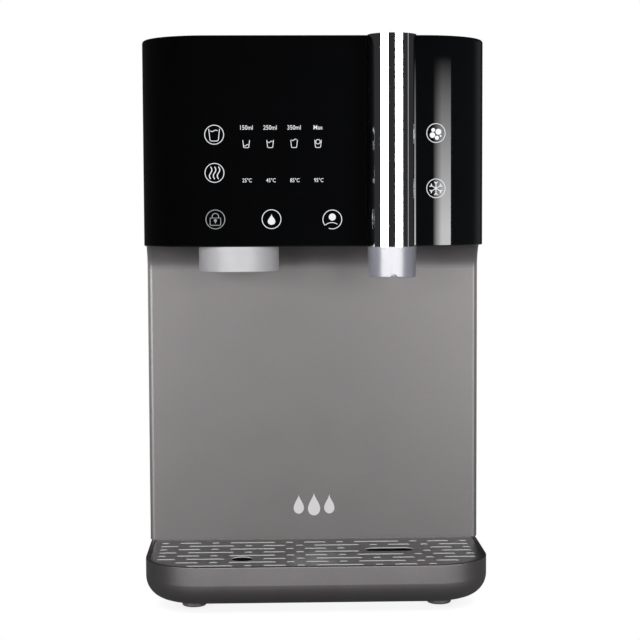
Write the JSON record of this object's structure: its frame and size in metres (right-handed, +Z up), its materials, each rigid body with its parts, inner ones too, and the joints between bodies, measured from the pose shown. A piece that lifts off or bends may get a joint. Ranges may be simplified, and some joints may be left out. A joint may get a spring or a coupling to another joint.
{
  "type": "countertop water dispenser",
  "caption": "Countertop water dispenser with a glossy touch head, chrome cold-water column, frosted spouts, lift-out drip tray and a serviceable cooling cabinet.",
  "frame": {"origin": "middle of the footprint on the counter, at the soles of the feet", "axes": "+Z up, the front with the spouts faces -Y, +X to the right seen from the front"},
  "size_m": [0.271, 0.43, 0.442],
  "materials": {
    "head_gloss": "gloss black",
    "body_paint": "satin warm grey",
    "base_plastic": "satin warm grey",
    "black_plastic": "fine matt",
    "chrome": "polished",
    "frosted": "frosted translucent",
    "grille_steel": "dark satin",
    "stainless": "satin",
    "rubber": "matt",
    "galvanised": "galvanised",
    "circuit_board": "solder-masked",
    "black_enamel": "gloss enamel",
    "aluminium": "bare",
    "copper": "bare",
    "foam": "closed-cell foam",
    "white_plastic": "moulded",
    "hose": "smooth"
  },
  "bodies": {
    "cabinet": {"base_pan": "galvanised", "base_shell": "base_plastic", "carbonation_tank": "stainless", "co2_regulator": "copper", "cold_hose": "hose", "cold_spout": "stainless", "cold_tank": "stainless", "column_cap": "black_plastic", "compressor": "black_enamel", "compressor_mounts": "rubber", "condenser": "aluminium", "control_board": "circuit_board", "door_hinge_pins": "stainless", "drain_socket": "white_plastic", "evaporator_coil": "copper", "fan_shroud": "black_plastic", "feet": "rubber", "filter_head": "white_plastic", "front_panel": "body_paint", "head_bracket": "galvanised", "head_shell": "head_gloss", "head_underside": "black_plastic", "heater": "stainless", "hot_hose": "hose", "hot_spout": "stainless", "inlet_hose": "hose", "internal_frame": "galvanised", "power_inlet": "black_plastic", "power_supply": "circuit_board", "pump": "white_plastic", "rear_panel": "body_paint", "screws_rear": "stainless", "side_panel_left": "body_paint", "side_panel_right": "body_paint", "spout_column": "chrome", "switch_bezel": "black_plastic", "tank_insulation": "foam", "top_cover": "black_plastic", "touch_board_left": "circuit_board", "touch_board_right": "circuit_board", "valve_manifold": "black_plastic", "wall_bumpers": "rubber", "water_inlet": "white_plastic"},
    "basin": {"drip_basin": "black_plastic"},
    "grille": {"drip_grille": "grille_steel"},
    "nozzle": {"nozzle_sleeve": "frosted"},
    "guard": {"spout_guard": "frosted"},
    "door": {"rear_door": "body_paint"},
    "latch": {"door_latch": "black_plastic"},
    "filter": {"filter_cartridge": "white_plastic"},
    "gas_cylinder": {"co2_cylinder": "aluminium"},
    "fan": {"fan_rotor": "black_plastic"},
    "rocker": {"power_switch": "black_plastic"},
    "bung": {"drain_plug": "rubber"}
  },
  "joints": [
    {"name": "basin_lift", "type": "slide", "parent": "cabinet", "child": "basin", "axis": [0, 0, 1], "range_m": [0, 0.06]},
    {"name": "grille_lift", "type": "slide", "parent": "basin", "child": "grille", "axis": [0, 0, 1], "range_m": [0, 0.06]},
    {"name": "nozzle_pull", "type": "slide", "parent": "cabinet", "child": "nozzle", "axis": [0, 0, -1], "range_m": [0, 0.03]},
    {"name": "guard_pull", "type": "slide", "parent": "cabinet", "child": "guard", "axis": [0, 0, -1], "range_m": [0, 0.03]},
    {"name": "door_swing", "type": "hinge", "parent": "cabinet", "child": "door", "pos_m": [-0.112, 0.2115, 0.296], "axis": [0, 0, 1], "range_deg": [0, 110]},
    {"name": "latch_turn", "type": "hinge", "parent": "door", "child": "latch", "pos_m": [0.092, 0.208, 0.296], "axis": [0, 1, 0], "range_deg": [-90, 0]},
    {"name": "filter_turn", "type": "hinge", "parent": "cabinet", "child": "filter", "pos_m": [0.066, 0.146, 0.28], "axis": [0, 0, 1], "range_deg": [0, 90]},
    {"name": "gas_unscrew", "type": "hinge", "parent": "cabinet", "child": "gas_cylinder", "pos_m": [-0.066, 0.146, 0.24], "axis": [0, 0, 1], "range_deg": [0, 720]},
    {"name": "fan_spin", "type": "hinge", "parent": "cabinet", "child": "fan", "pos_m": [0.06, 0.16, 0.09], "axis": [0, 1, 0], "continuous": true},
    {"name": "switch_rock", "type": "hinge", "parent": "cabinet", "child": "rocker", "pos_m": [-0.054, 0.203, 0.063], "axis": [1, 0, 0], "range_deg": [0, 14]},
    {"name": "bung_pull", "type": "slide", "parent": "cabinet", "child": "bung", "axis": [0, 1, 0], "range_m": [0, 0.02]}
  ]
}
